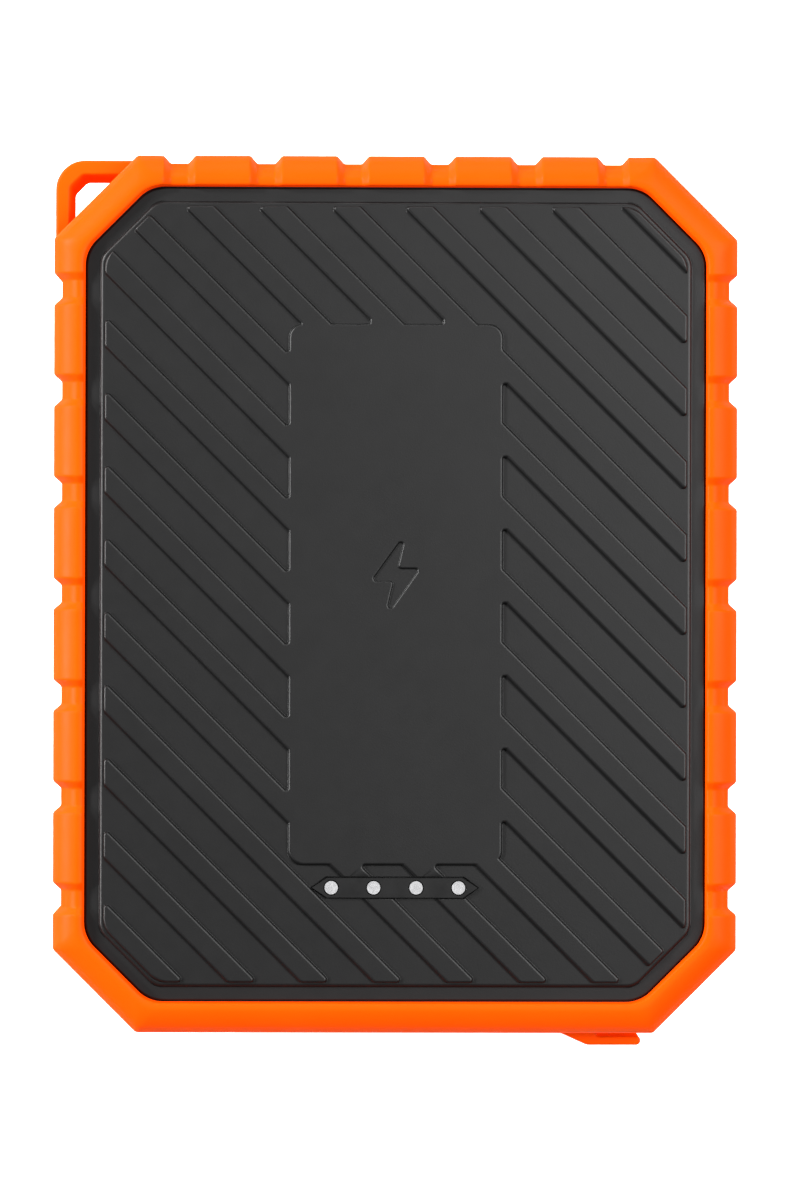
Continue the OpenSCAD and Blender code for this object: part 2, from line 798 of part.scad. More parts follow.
bumper();
front_cover();
rear_cover();
cover_gasket();
indicator_strip();
light_guide();
rear_label();
case_screws();
port_frame();
port_flap();
flap_core();
flap_seal();
flap_hinge_pin();
button_cap();
tact_switch();
switch_plunger();
main_pcb();
pcb_screws();
usb_a_shells();
usb_a_tongues();
usb_a_contacts();
usb_c_shell();
usb_c_tongue();
usb_c_contacts();
indicator_leds();
controller_ic();
power_mosfets();
ceramic_capacitors();
polymer_capacitors();
inductor_core();
inductor_winding();
lower_cell();
upper_cell();
cell_tabs();
protection_board();
thermistor();
positive_lead();
negative_lead();
cell_pads();
insulation_sheet();
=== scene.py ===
"""Looks for a rugged power bank: rubber bumper, ribbed cover, port flap and the small parts around them.

Lengths are in millimetres in the geometry functions and become metres when a piece is made.
"""

import math

import bmesh
import bpy
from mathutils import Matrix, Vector


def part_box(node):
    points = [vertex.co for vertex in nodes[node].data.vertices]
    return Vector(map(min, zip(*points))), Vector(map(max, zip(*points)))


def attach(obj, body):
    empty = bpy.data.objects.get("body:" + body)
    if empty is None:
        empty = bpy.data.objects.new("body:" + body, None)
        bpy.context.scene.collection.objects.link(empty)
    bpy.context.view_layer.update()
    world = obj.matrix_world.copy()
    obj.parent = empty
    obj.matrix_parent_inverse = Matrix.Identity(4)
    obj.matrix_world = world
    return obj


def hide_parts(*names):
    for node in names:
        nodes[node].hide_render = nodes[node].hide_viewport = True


MM = 0.001
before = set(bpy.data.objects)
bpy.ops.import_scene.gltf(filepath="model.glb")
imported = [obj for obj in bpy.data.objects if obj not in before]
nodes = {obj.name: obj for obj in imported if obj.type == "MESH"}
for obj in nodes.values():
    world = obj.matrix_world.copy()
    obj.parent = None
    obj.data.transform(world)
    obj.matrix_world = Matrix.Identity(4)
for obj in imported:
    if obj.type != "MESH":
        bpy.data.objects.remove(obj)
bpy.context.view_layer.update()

# ---- Driving dimensions, in millimetres, as the CAD has them --------------------------------------


def box_mm(node):
    low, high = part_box(node)
    return low / MM, high / MM


bumper_high = box_mm("bumper")[1]
HALF_W = bumper_high.x
HALF_L = bumper_high.y
THICK = bumper_high.z
CORNER_LEG = 11.3
CORNER_R = 0.8
OPENING_R = 4.8
BUMPER_WALL = 3.5
BAND = 4.25
LIP_Z = THICK - 2.3
REAR_LIP_Z = 1.5
SIDE_PITCH = 13.8
TOP_PITCH = 11.8
NOTCH_DEPTH = 1.1
NOTCH_MOUTH = 4.3
NOTCH_FLOOR = 2.4
CHANNEL_DEPTH = 0.7
COVER_INSET = 3.6
RIM_INSET = BAND + 0.2
FACE_INSET = 6.55
FACE_CORNER_R = 2.6
LOW_Z = THICK - 1.1
RIM_Z = LOW_Z - 0.5
RAISED_Z = LOW_Z + 0.5
MARK_DEPTH = 0.3
MARK_ZONE = 8
COVER_FOOT_Z = 19.0
SQRT2 = math.sqrt(2)

# ---- Plane geometry ------------------------------------------------------------------------------


def unit(degrees):
    return Vector((math.cos(math.radians(degrees)), math.sin(math.radians(degrees))))


def corner_radius(inset):
    return CORNER_R + (OPENING_R - CORNER_R) * min(max(inset, 0) / BAND, 1)


def octagon(inset, stations, radius=None, arc_steps=8):
    """Points round the bumper's outline, moved in by inset. stations(k) lists positions along side k."""
    hx, hy = HALF_W - inset, HALF_L - inset
    leg = CORNER_LEG - inset * (2 - SQRT2)
    r = corner_radius(inset) if radius is None else radius
    corners = [(hx, hy - leg), (hx - leg, hy), (leg - hx, hy), (-hx, hy - leg),
               (-hx, leg - hy), (leg - hx, -hy), (hx - leg, -hy), (hx, leg - hy)]
    points = []
    for k, corner in enumerate(corners):
        n0, n1 = unit(45 * k), unit(45 * k + 45)
        centre = Vector(corner) - (n0 + n1) * (r / (1 + n0.dot(n1)))
        points += [centre + unit(45 * k + 45 * i / arc_steps) * r for i in range(arc_steps + 1)]
        side = (k + 1) % 8
        normal, along = unit(45 * side), unit(45 * side + 90)
        foot = Vector(corners[k]).dot(normal)
        # Positions on a slanted side are counted from its middle.
        middle = (Vector(corners[k]) + Vector(corners[(k + 1) % 8])).dot(along) / 2 if side % 2 else 0
        points += [normal * foot + along * (middle + s) for s in stations(side)]
    return points


def no_stations(side):
    return []


def fillet_path(corners, closed=True, step=12):
    """A profile through corners, each (a, b, radius), with an arc at each corner."""
    out = []
    n = len(corners)
    for i, (a, b, r) in enumerate(corners):
        p = Vector((a, b))
        if r <= 0 or (not closed and i in (0, n - 1)):
            out.append(p)
            continue
        before = Vector(corners[i - 1][:2]) - p
        after = Vector(corners[(i + 1) % n][:2]) - p
        u, v = before.normalized(), after.normalized()
        half = u.angle(v) / 2
        reach = min(r / math.tan(half), 0.49 * before.length, 0.49 * after.length)
        r = reach * math.tan(half)
        centre = p + (u + v).normalized() * (r / math.sin(half))
        start, end = p + u * reach - centre, p + v * reach - centre
        turn = math.atan2(start.x * end.y - start.y * end.x, start.dot(end))
        count = max(2, math.ceil(abs(math.degrees(turn)) / step - 0.01))
        first = math.degrees(math.atan2(start.y, start.x))
        out += [centre + unit(first + math.degrees(turn) * j / count) * r for j in range(count + 1)]
    return out


def ramp(u, low, high, soften):
    """1 below low, 0 above high, and a straight slope between, with its two corners softened."""
    def area(x):
        if x <= low:
            return x
        if x >= high:
            return low + (high - low) / 2
        return low + (high - low) / 2 - (high - x) ** 2 / (2 * (high - low))
    return (area(u + soften) - area(u - soften)) / (2 * soften)


# ---- Mesh helpers --------------------------------------------------------------------------------


def mesh_mm(name, verts, faces):
    """A mesh from points in millimetres."""
    mesh = bpy.data.meshes.new(name)
    mesh.from_pydata([v * MM for v in verts], [], faces)
    return mesh


def finish_piece(name, mesh, material, body, replaces):
    """Makes the mesh a piece that rides on a body, shaded smooth with its large faces kept flat."""
    mesh.name = name
    mesh.validate()
    mesh.update()
    for polygon in mesh.polygons:
        polygon.use_smooth = True
    mesh.set_sharp_from_angle(angle=math.radians(40))
    obj = bpy.data.objects.new(name, mesh)
    bpy.context.scene.collection.objects.link(obj)
    obj.data.materials.append(material)
    weighted = obj.modifiers.new("normals", "WEIGHTED_NORMAL")
    weighted.weight = 60
    weighted.keep_sharp = True
    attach(obj, body)
    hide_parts(*replaces)


def ring_faces(first, second, n):
    """Quads between two closed rings of n points that start at these indices."""
    return [(first + i, first + (i + 1) % n, second + (i + 1) % n, second + i) for i in range(n)]


def recalculate(mesh):
    bm = bmesh.new()
    bm.from_mesh(mesh)
    bmesh.ops.remove_doubles(bm, verts=bm.verts, dist=1e-7)
    bmesh.ops.recalc_face_normals(bm, faces=bm.faces)
    bm.to_mesh(mesh)
    bm.free()


def joined_mesh(mesh, tool_mesh, operation):
    """One mesh with another added to it or cut from it."""
    obj = bpy.data.objects.new("join_base", mesh)
    tool = bpy.data.objects.new("join_tool", tool_mesh)
    for o in (obj, tool):
        bpy.context.scene.collection.objects.link(o)
    modifier = obj.modifiers.new("join", "BOOLEAN")
    modifier.operation = operation
    modifier.solver = "EXACT"
    modifier.object = tool
    bpy.context.view_layer.update()
    joined = bpy.data.meshes.new_from_object(obj.evaluated_get(bpy.context.evaluated_depsgraph_get()))
    for o in (obj, tool):
        bpy.data.objects.remove(o)
    return joined


# ---- Materials -----------------------------------------------------------------------------------


class Shader:
    """Builds one node material: every method adds a node and returns its output."""

    def __init__(self, name):
        self.material = bpy.data.materials.new(name)
        self.material.use_nodes = True
        self.tree = self.material.node_tree
        self.shader = self.tree.nodes["Principled BSDF"]
        self.coords = self.tree.nodes.new("ShaderNodeTexCoord").outputs["Object"]

    def link(self, source, target):
        self.tree.links.new(source, target)

    def set(self, **values):
        for key, value in values.items():
            socket = self.shader.inputs[key.replace("_", " ")]
            if isinstance(value, bpy.types.NodeSocket):
                self.link(value, socket)
            else:
                socket.default_value = value

    def noise(self, size_mm, detail=3.0, roughness=0.55):
        node = self.tree.nodes.new("ShaderNodeTexNoise")
        node.inputs["Scale"].default_value = 1 / (size_mm * MM)
        node.inputs["Detail"].default_value = detail
        node.inputs["Roughness"].default_value = roughness
        self.link(self.coords, node.inputs["Vector"])
        return node.outputs["Fac"]

    def scale_to(self, source, low, high, from_low=0.3, from_high=0.7):
        node = self.tree.nodes.new("ShaderNodeMapRange")
        node.inputs["From Min"].default_value = from_low
        node.inputs["From Max"].default_value = from_high
        node.inputs["To Min"].default_value = low
        node.inputs["To Max"].default_value = high
        self.link(source, node.inputs["Value"])
        return node.outputs["Result"]

    def bump(self, height, depth_mm, normal=None):
        node = self.tree.nodes.new("ShaderNodeBump")
        node.inputs["Distance"].default_value = depth_mm * MM
        self.link(height, node.inputs["Height"])
        if normal is not None:
            self.link(normal, node.inputs["Normal"])
        return node.outputs["Normal"]

    def facing_away(self):
        """0 where the surface faces the viewer and 1 where it is seen edge-on."""
        return self.tree.nodes.new("ShaderNodeLayerWeight").outputs["Facing"]

    def rounded_edges(self, radius_mm):
        node = self.tree.nodes.new("ShaderNodeBevel")
        node.samples = 4
        node.inputs["Radius"].default_value = radius_mm * MM
        return node.outputs["Normal"]


def colour_mix(shader, factor, a, b):
    """A mix node whose colour sockets are set by index."""
    node = shader.tree.nodes.new("ShaderNodeMix")
    node.data_type = "RGBA"
    colours = [i for i in node.inputs if i.type == "RGBA"]
    shader.link(factor, node.inputs[0])
    for socket, value in zip(colours, (a, b)):
        if isinstance(value, bpy.types.NodeSocket):
            shader.link(value, socket)
        else:
            socket.default_value = (*value[:3], 1)
    return [o for o in node.outputs if o.type == "RGBA"][0]


def moulded(name, colour, rough, grain_mm=0.22, grain_depth=0.006, mottle=0.08, specular=0.5, edge_mm=0.0,
            vary=0.04, fade=None, glow=None):
    """Injection-moulded plastic or rubber: fine grain, slow mottling of colour and roughness.

    With edge_mm, the edges are shaded as if they were rounded by that much. Between the two values of fade,
    the sheen fades out as the surface is seen more and more edge-on. A glow is painted light there: the
    surface emits the glow colour where it is seen edge-on, in place of the light that would come through a
    soft wall.
    """
    s = Shader(name)
    slow = s.noise(14, detail=4)
    patch = s.noise(2.5, detail=3)
    lighter = [min(1, c * (1 + mottle) + 0.01 * mottle) for c in colour]
    darker = [c * (1 - mottle) for c in colour]
    base = colour_mix(s, s.scale_to(slow, 0, 1), darker, lighter)
    base = colour_mix(s, s.scale_to(patch, 0, 0.25), base, colour)
    grain = s.noise(grain_mm, detail=2, roughness=0.6)
    roughness = s.scale_to(patch, rough - vary, rough + vary)
    normal = s.rounded_edges(edge_mm) if edge_mm else None
    sheen = s.scale_to(s.facing_away(), specular, 0, *fade) if fade else specular
    s.set(Base_Color=base, Roughness=roughness, Specular_IOR_Level=sheen,
          Normal=s.bump(grain, grain_depth, normal=normal))
    # Painted light: with glow, the surface emits that colour where it is seen edge-on, so walls in shade look
    # lit.
    if glow:
        s.set(Emission_Color=(*glow, 1), Emission_Strength=s.scale_to(s.facing_away(), 0, 1, *fade))
    return s.material


def metal(name, colour, rough, edge_mm=0.0):
    """Plated or bare metal with fine marks and slow tarnish."""
    s = Shader(name)
    lines = s.noise(0.15, detail=3)
    cloud = s.noise(4, detail=4)
    base = colour_mix(s, s.scale_to(cloud, 0, 1), [c * 0.85 for c in colour], colour)
    roughness = s.scale_to(lines, rough - 0.08, rough + 0.1)
    normal = s.rounded_edges(edge_mm) if edge_mm else None
    s.set(Base_Color=base, Roughness=roughness, Metallic=1.0, Normal=s.bump(lines, 0.002, normal=normal))
    return s.material


def window_material():
    """White diffusing plastic at the end of a light pipe."""
    s = Shader("window_white")
    cloud = s.noise(0.5, detail=3)
    base = colour_mix(s, s.scale_to(cloud, 0, 1), (0.24, 0.24, 0.245), (0.33, 0.33, 0.335))
    s.set(Base_Color=base, Roughness=0.3, Normal=s.bump(s.noise(0.25), 0.008))
    s.shader.inputs["Subsurface Weight"].default_value = 0.3
    s.shader.inputs["Subsurface Radius"].default_value = (0.4 * MM, 0.4 * MM, 0.4 * MM)
    return s.material


ORANGE = (0.82, 0.064, 0.0004)
BLACK = (0.0038, 0.0038, 0.0039)

inner_shell = moulded("inner_shell", BLACK, 0.44, specular=0.3, edge_mm=0.2)
# The rubber's glow is painted light: dark red emission on walls seen edge-on, such as the strap's and the
# tab's inner walls, which lie in shade.
rubber = moulded("bumper_rubber", ORANGE, 0.4, grain_mm=0.3, grain_depth=0.003, mottle=0.03,
                 specular=0.035, fade=(0.6, 0.85), glow=(0.55, 0.02, 0))
shell = moulded("black_shell", BLACK, 0.44, grain_mm=0.2, grain_depth=0.01, mottle=0.06,
                specular=0.3, vary=0.012, fade=(0.86, 0.95))
gloss_black = moulded("strip_black", (0.0046, 0.0046, 0.0047), 0.4, grain_mm=0.25, grain_depth=0.004,
                      mottle=0.06, specular=0.3)
white_window = window_material()

# ---- Bumper --------------------------------------------------------------------------------------

NOTCH_SAMPLES = [0, 0.6, 0.95, 1.08, 1.2, 1.32, 1.5, 1.7, 1.9, 2.05, 2.17, 2.3, 2.45]
NOTCH_SOFTEN = 0.2


def notch_amount(x, y):
    """How far into a notch a point of the bumper is: 0 on a lug, 1 on a notch's floor."""
    nearest = None
    corner_line = abs(x) + abs(y) > HALF_W + HALF_L - CORNER_LEG - 1
    if abs(x) > HALF_W - BAND - 0.6 and not corner_line:
        k = max(-3, min(3, round(y / SIDE_PITCH)))
        nearest = abs(y - k * SIDE_PITCH)
    elif y > HALF_L - BAND - 0.6 and not corner_line:
        k = max(-2.5, min(2.5, math.floor(x / TOP_PITCH) + 0.5))
        nearest = abs(x - k * TOP_PITCH)
    if nearest is None:
        return 0.0
    return ramp(nearest, NOTCH_FLOOR / 2, NOTCH_MOUTH / 2, NOTCH_SOFTEN)


FLAP_LOW, FLAP_HIGH = box_mm("port_flap")
CORE_LOW = box_mm("flap_core")[0]
BUTTON_LOW, BUTTON_HIGH = box_mm("button_cap")
BUTTON_Y = (BUTTON_LOW.y + BUTTON_HIGH.y) / 2
BUTTON_Z = (BUTTON_LOW.z + BUTTON_HIGH.z) / 2
FLAP_END_X = 28.4
POCKET = {"x": (CORE_LOW.x - 0.3, FLAP_END_X + 0.3), "z": (FLAP_LOW.z - 0.2, FLAP_HIGH.z + 0.2)}
POCKET_EDGE = 0.35
POCKET_RELIEF = 1.0
HOLE_R = 3.55
HOLE_EDGE = 0.3
HOLE_PATCH = 4.1

BUMPER_CORNERS = [
    (0.0, THICK - 2.2, 1.2), (0.85, THICK - 1.2, 2.5), (2.0, THICK - 0.37, 4.0), (3.45, THICK + 0.04, 1.4),
    (BAND - 0.05, THICK - 0.16, 0.4), (BAND + 0.05, LIP_Z + 0.6, 0.3), (BAND, LIP_Z, 0.1),
    (BUMPER_WALL, LIP_Z, 0.0), (BUMPER_WALL, REAR_LIP_Z, 0.0),
    (BAND, REAR_LIP_Z, 0.15), (BAND, 0.0, 0.35), (1.7, 0.0, 0.8), (0.0, 1.9, 1.2),
]


def bumper_profile():
    """The closed cross-section, as (inset, height) pairs, with extra heights on the two straight walls."""
    wall_z = sorted([POCKET["z"][0] - POCKET_EDGE, POCKET["z"][1] + POCKET_EDGE,
                     BUTTON_Z - HOLE_PATCH, BUTTON_Z + HOLE_PATCH])
    arcs = fillet_path(BUMPER_CORNERS)
    out = []
    for i, p in enumerate(arcs):
        out.append(p)
        q = arcs[(i + 1) % len(arcs)]
        straight = abs(p.x - q.x) < 1e-6 and abs(p.y - q.y) > 10
        if straight:
            rising = q.y > p.y
            out += [Vector((p.x, z)) for z in (wall_z if rising else reversed(wall_z))]
    return out


def notch_stations(middles):
    """Positions of the points across the notches with these middles."""
    return {round(m + e * u, 3) for m in middles for u in NOTCH_SAMPLES for e in (-1, 1)}


def side_stations(side):
    """Positions along each side of the octagon at which the bumper's rings have points."""
    if side in (0, 4):
        found = notch_stations([k * SIDE_PITCH for k in range(-3, 4)])
        if side == 0:
            found |= {round(BUTTON_Y - HOLE_PATCH, 3), round(BUTTON_Y + HOLE_PATCH, 3)}
        limit = HALF_L - CORNER_LEG - 3.6
        return sorted(y if side == 0 else -y for y in found if abs(y) < limit)
    if side == 2:
        found = notch_stations([k / 2 * TOP_PITCH for k in range(-5, 6, 2)])
        limit = HALF_W - CORNER_LEG - 3.5
        return sorted(-x for x in found if abs(x) < limit)
    if side == 6:
        edges = [POCKET["x"][0] - POCKET_RELIEF, POCKET["x"][1] + POCKET_EDGE]
        even = [-30 + 5 * i for i in range(13)]
        return sorted(edges + [x for x in even if min(abs(x - e) for e in edges) > 1])
    return [-2.0, 0.0, 2.0]


def bumper_mesh():
    """Points and faces of the frame: the profile swept round the outline and sunk at the notches."""
    profile = bumper_profile()
    verts = []
    n = 0
    for p in profile:
        ring = octagon(p.x, side_stations)
        n = len(ring)
        for q in ring:
            g = notch_amount(q.x, q.y)
            # The notches are deepest on the outer wall and fade out towards the rear edge and the opening.
            outer = max(0.0, 1 - p.x / 3.3) if p.y > 1 else max(0.0, 1 - p.x / 2.2)
            top = max(0.0, min(1.0, (p.y - (THICK - 2.6)) / 1.4)) if p.x < BAND + 0.1 else 0
            if p.x > BAND - 0.6 and p.y < THICK - 1:
                top = 0
            move = NOTCH_DEPTH * g * outer
            inward = Vector((0.0, 0.0))
            if abs(q.x) > HALF_W - BAND - 0.6 and abs(q.y) < HALF_L - CORNER_LEG:
                inward = Vector((-math.copysign(move, q.x), 0))
            elif q.y > 0:
                inward = Vector((0, -move))
            verts.append(Vector((q.x + inward.x, q.y + inward.y, p.y - CHANNEL_DEPTH * g * top)))
    faces = []
    m = len(profile)
    for j in range(m):
        faces += ring_faces(j * n, (j + 1) % m * n, n)
    return verts, faces


def is_inside(centre, axis, plane, spans):
    """True for a face centre on the plane axis = plane that lies in both spans."""
    if abs(centre[axis] - plane) > 0.02:
        return False
    others = [i for i in range(3) if i != axis]
    return all(spans[k][0] < centre[i] < spans[k][1] for k, i in enumerate(others))


def cut_bumper(verts, faces):
    """Removes the patches of wall where the flap's pocket and the button's hole go."""
    outer_pocket = ((POCKET["x"][0] - POCKET_RELIEF, POCKET["x"][1] + POCKET_EDGE),
                    (POCKET["z"][0] - POCKET_EDGE, POCKET["z"][1] + POCKET_EDGE))
    patch = ((BUTTON_Y - HOLE_PATCH, BUTTON_Y + HOLE_PATCH), (BUTTON_Z - HOLE_PATCH, BUTTON_Z + HOLE_PATCH))
    kept = []
    for f in faces:
        c = sum((verts[i] for i in f), Vector((0, 0, 0))) / len(f)
        if is_inside(c, 1, -HALF_L, outer_pocket) or is_inside(c, 1, -HALF_L + BUMPER_WALL, outer_pocket):
            continue
        if is_inside(c, 0, HALF_W, patch) or is_inside(c, 0, HALF_W - BUMPER_WALL, patch):
            continue
        kept.append(f)
    return kept


def rectangle_loop(xs, zs):
    """Grid points round a rectangle, in order."""
    loop = [(x, zs[0]) for x in xs[:-1]] + [(xs[-1], z) for z in zs[:-1]]
    loop += [(x, zs[-1]) for x in reversed(xs[1:])] + [(xs[0], z) for z in reversed(zs[1:])]
    return loop


def pocket_wall(verts, faces):
    """The pocket's rounded mouth and its straight walls, from the outer wall to the inner one."""
    x_out = (POCKET["x"][0] - POCKET_RELIEF, POCKET["x"][1] + POCKET_EDGE)
    z_out = (POCKET["z"][0] - POCKET_EDGE, POCKET["z"][1] + POCKET_EDGE)
    xs = [x for x in side_stations(6) if x_out[0] - 0.01 <= x <= x_out[1] + 0.01]
    zs = [z for z in sorted({round(v.y, 4) for v in bumper_profile() if v.x < 1e-6})
          if z_out[0] - 0.01 <= z <= z_out[1] + 0.01]
    base = rectangle_loop(xs, zs)
    steps = 6
    loops = []
    for k in range(steps + 1):
        a = math.radians(90 * k / steps)
        shrink = math.sin(a)
        depth = 1 - math.cos(a)
        # The left edge is a deeper relief, so that the flap can swing past a right angle.
        x0 = x_out[0] + POCKET_RELIEF * shrink
        x1 = x_out[1] - POCKET_EDGE * shrink
        z0 = z_out[0] + POCKET_EDGE * shrink
        z1 = z_out[1] - POCKET_EDGE * shrink
        loop = []
        for x, z in base:
            nx = min(max(x, x0), x1)
            nz = min(max(z, z0), z1)
            deep = POCKET_EDGE
            if x < x_out[0] + 0.01:
                deep = POCKET_RELIEF
            loop.append(Vector((nx, -HALF_L + deep * depth, nz)))
        loops.append(loop)
    loops.append([Vector((v.x, -HALF_L + BUMPER_WALL, v.z)) for v in loops[-1]])
    loops.append([Vector((x, -HALF_L + BUMPER_WALL, z)) for x, z in base])
    append_loops(verts, faces, loops)


def append_loops(verts, faces, loops):
    start = len(verts)
    n = len(loops[0])
    for loop in loops:
        verts += loop
    for k in range(len(loops) - 1):
        faces += ring_faces(start + k * n, start + (k + 1) * n, n)


def hole_wall(verts, faces):
    """The button's hole: a rounded edge and a straight bore."""
    loops = []
    for k in range(6):
        a = math.radians(90 * k / 5)
        x = HALF_W - HOLE_EDGE * (1 - math.cos(a))
        loops.append(hole_circle(x, HOLE_R + HOLE_EDGE * (1 - math.sin(a))))
    loops.append(hole_circle(HALF_W - BUMPER_WALL, HOLE_R))
    append_loops(verts, faces, loops)


def hole_circle(x, r, n=64):
    turns = [unit(360 * i / n) * r for i in range(n)]
    return [Vector((x, BUTTON_Y + t.x, BUTTON_Z + t.y)) for t in turns]


def fill_hole_patch(bm, x):
    """Fills the flat gap between the wall's grid and the button hole's ring, at one x."""
    def near(vert):
        y, z = vert.co.y / MM - BUTTON_Y, vert.co.z / MM - BUTTON_Z
        return abs(vert.co.x / MM - x) < 0.01 and max(abs(y), abs(z)) < HOLE_PATCH + 0.01
    edges = [e for e in bm.edges if e.is_boundary and all(near(v) for v in e.verts)]
    bmesh.ops.triangle_fill(bm, use_beauty=True, use_dissolve=False, edges=edges)


LOOP_T = 2.0
LOOP_EDGE = 0.4


def loop_section(height, z0):
    """The strap's cross-section: rounded rectangle as (distance in from the outside, height)."""
    return fillet_path([(0, z0, LOOP_EDGE), (0, z0 + height, LOOP_EDGE),
                        (LOOP_T, z0 + height, LOOP_EDGE), (LOOP_T, z0, LOOP_EDGE)], step=18)


def lanyard_loop():
    """The strap across the upper left corner, as a closed tube that runs into the bumper at both ends."""
    x0, y1 = -HALF_W - 0.05, HALF_L - 0.35
    outer_r, inner_cut = 4.0, 1.7
    reach = CORNER_LEG + 0.9
    z0, height = 5.4, 12.5
    inner = fillet_path([(x0 + LOOP_T, y1 - reach, 0), (x0 + LOOP_T, y1 - LOOP_T - inner_cut, 1.0),
                         (x0 + LOOP_T + inner_cut, y1 - LOOP_T, 1.0), (x0 + reach, y1 - LOOP_T, 0)],
                        closed=False, step=8)
    arc = len(inner) - 3
    centre = Vector((x0 + outer_r, y1 - outer_r))
    outer = [Vector((x0, y1 - reach))] + [centre + unit(180 - 90 * i / arc) * outer_r for i in range(arc + 1)]
    outer.append(Vector((x0 + reach, y1)))
    section = loop_section(height, z0)
    loops = [[Vector((*o.lerp(i, p.x / LOOP_T), p.y)) for p in section] for o, i in zip(outer, inner)]
    verts = [v for loop in loops for v in loop]
    n = len(section)
    faces = []
    for k in range(len(loops) - 1):
        faces += ring_faces(k * n, (k + 1) * n, n)
    faces += [tuple(range(n)), tuple(reversed(range((len(loops) - 1) * n, len(loops) * n)))]
    return verts, faces


def build_bumper():
    verts, faces = bumper_mesh()
    faces = cut_bumper(verts, faces)
    pocket_wall(verts, faces)
    hole_wall(verts, faces)
    used = sorted({i for f in faces for i in f})
    place = {old: new for new, old in enumerate(used)}
    mesh = mesh_mm("bumper_rubber_frame", [verts[i] for i in used], [[place[i] for i in f] for f in faces])
    bm = bmesh.new()
    bm.from_mesh(mesh)
    bmesh.ops.remove_doubles(bm, verts=bm.verts, dist=5e-6)
    for x in (HALF_W, HALF_W - BUMPER_WALL):
        fill_hole_patch(bm, x)
    bmesh.ops.recalc_face_normals(bm, faces=bm.faces)
    bm.to_mesh(mesh)
    bm.free()
    strap_mesh = mesh_mm("strap", *lanyard_loop())
    recalculate(strap_mesh)
    joined = joined_mesh(mesh, strap_mesh, "UNION")
    finish_piece("bumper_rubber_frame", joined, rubber, "case", ["bumper"])


build_bumper()

# ---- Front cover ---------------------------------------------------------------------------------


def top_loops(obj, level, tolerance=0.004):
    """Boundary loops, in millimetres, of a CAD node's upward faces at one height. The face is on the left."""
    mesh = obj.data
    key = {}
    points = []

    def index(v):
        k = (round(v.x / MM, 3), round(v.y / MM, 3))
        if k not in key:
            key[k] = len(points)
            points.append(Vector(k))
        return key[k]

    edges = {}
    for polygon in mesh.polygons:
        corners = [mesh.vertices[i].co for i in polygon.vertices]
        if polygon.normal.z < 0.9 or any(abs(c.z / MM - level) > tolerance for c in corners):
            continue
        ids = [index(c) for c in corners]
        for a, b in zip(ids, ids[1:] + ids[:1]):
            if (b, a) in edges:
                del edges[(b, a)]
            else:
                edges[(a, b)] = True
    after = {}
    for a, b in edges:
        after.setdefault(a, []).append(b)
    loops = []
    while after:
        start = next(iter(after))
        loop = [start]
        here = start
        while True:
            options = after[here]
            here = options.pop()
            if not options:
                del after[loop[-1]]
            if here == start:
                break
            loop.append(here)
        loops.append([points[i] for i in loop])
    return [drop_straight(loop) for loop in loops]


def drop_straight(loop):
    """The loop without the points that lie on a straight run."""
    out = []
    n = len(loop)
    for i in range(n):
        a, b, c = loop[i - 1], loop[i], loop[(i + 1) % n]
        u, v = (b - a), (c - b)
        if u.length < 1e-6 or v.length < 1e-6:
            continue
        if abs(u.normalized().cross(v.normalized())) > 1e-3:
            out.append(b)
    return out


def turn_at(loop, i):
    u = (loop[i] - loop[i - 1]).normalized()
    v = (loop[(i + 1) % len(loop)] - loop[i]).normalized()
    return math.atan2(u.x * v.y - u.y * v.x, u.dot(v))


def round_loop(loop, convex_r, concave_r, step=15):
    """Arcs at the corners that turn by more than 20 degrees, but none on the strip's outline.

    Left turns are the face's convex corners.
    """
    out = []
    n = len(loop)
    for i in range(n):
        turn = turn_at(loop, i)
        if abs(math.degrees(turn)) < 20 or on_strip(loop[i]):
            out.append(loop[i])
            continue
        r = convex_r if turn > 0 else concave_r
        back, ahead = loop[i - 1] - loop[i], loop[(i + 1) % n] - loop[i]
        reach = min(r * math.tan(abs(turn) / 2), 0.45 * back.length, 0.45 * ahead.length)
        r = reach / math.tan(abs(turn) / 2)
        start = loop[i] + back.normalized() * reach
        # The centre lies on the side that the loop turns towards.
        left = Vector((back.y, -back.x)).normalized()
        centre = start + left * (r if turn > 0 else -r)
        count = max(2, math.ceil(abs(math.degrees(turn)) / step))
        arm = start - centre
        for k in range(count + 1):
            a = turn * k / count
            out.append(centre + Vector((arm.x * math.cos(a) - arm.y * math.sin(a),
                                        arm.x * math.sin(a) + arm.y * math.cos(a))))
    return out


STRIP_LOW, STRIP_HIGH = box_mm("indicator_strip")
STRIP_Y = (STRIP_LOW.y + STRIP_HIGH.y) / 2
STRIP_POINT = 2.05
STRIP_GAP = 0.2


def strip_outline(grow):
    length, width = STRIP_HIGH.x + grow, (STRIP_HIGH.y - STRIP_LOW.y) / 2 + grow
    x = length - STRIP_POINT
    corners = [(length, 0), (x, width), (-x, width), (-length, 0), (-x, -width), (x, -width)]
    return [Vector((cx, STRIP_Y + cy)) for cx, cy in corners]


def on_strip(point):
    """True if the point lies on the outline of the groove round the strip."""
    outline = strip_outline(STRIP_GAP)
    for a, b in zip(outline, outline[1:] + outline[:1]):
        t = max(0.0, min(1.0, (point - a).dot(b - a) / (b - a).length_squared))
        if (a + (b - a) * t - point).length < 0.03:
            return True
    return False


def moved_edges(loop, steep, gentle):
    """Each edge of the loop moved to its right, as (direction, start, end).

    Edges that face the lower left move by the gentle distance and the others by the steep one. Edges on
    the strip's outline move further, so that their walls fall inside the strip's groove.
    """
    edges = []
    on = [on_strip(p) for p in loop]
    for i, end in enumerate(loop):
        along = (end - loop[i - 1]).normalized()
        right = Vector((along.y, -along.x))
        share = min(max((-right.x - right.y) / SQRT2 * 4 - 3, 0), 1)
        distance = steep + (gentle - steep) * share + (0.5 if on[i - 1] and on[i] else 0)
        edges.append((along, loop[i - 1] + right * distance, end + right * distance))
    return edges


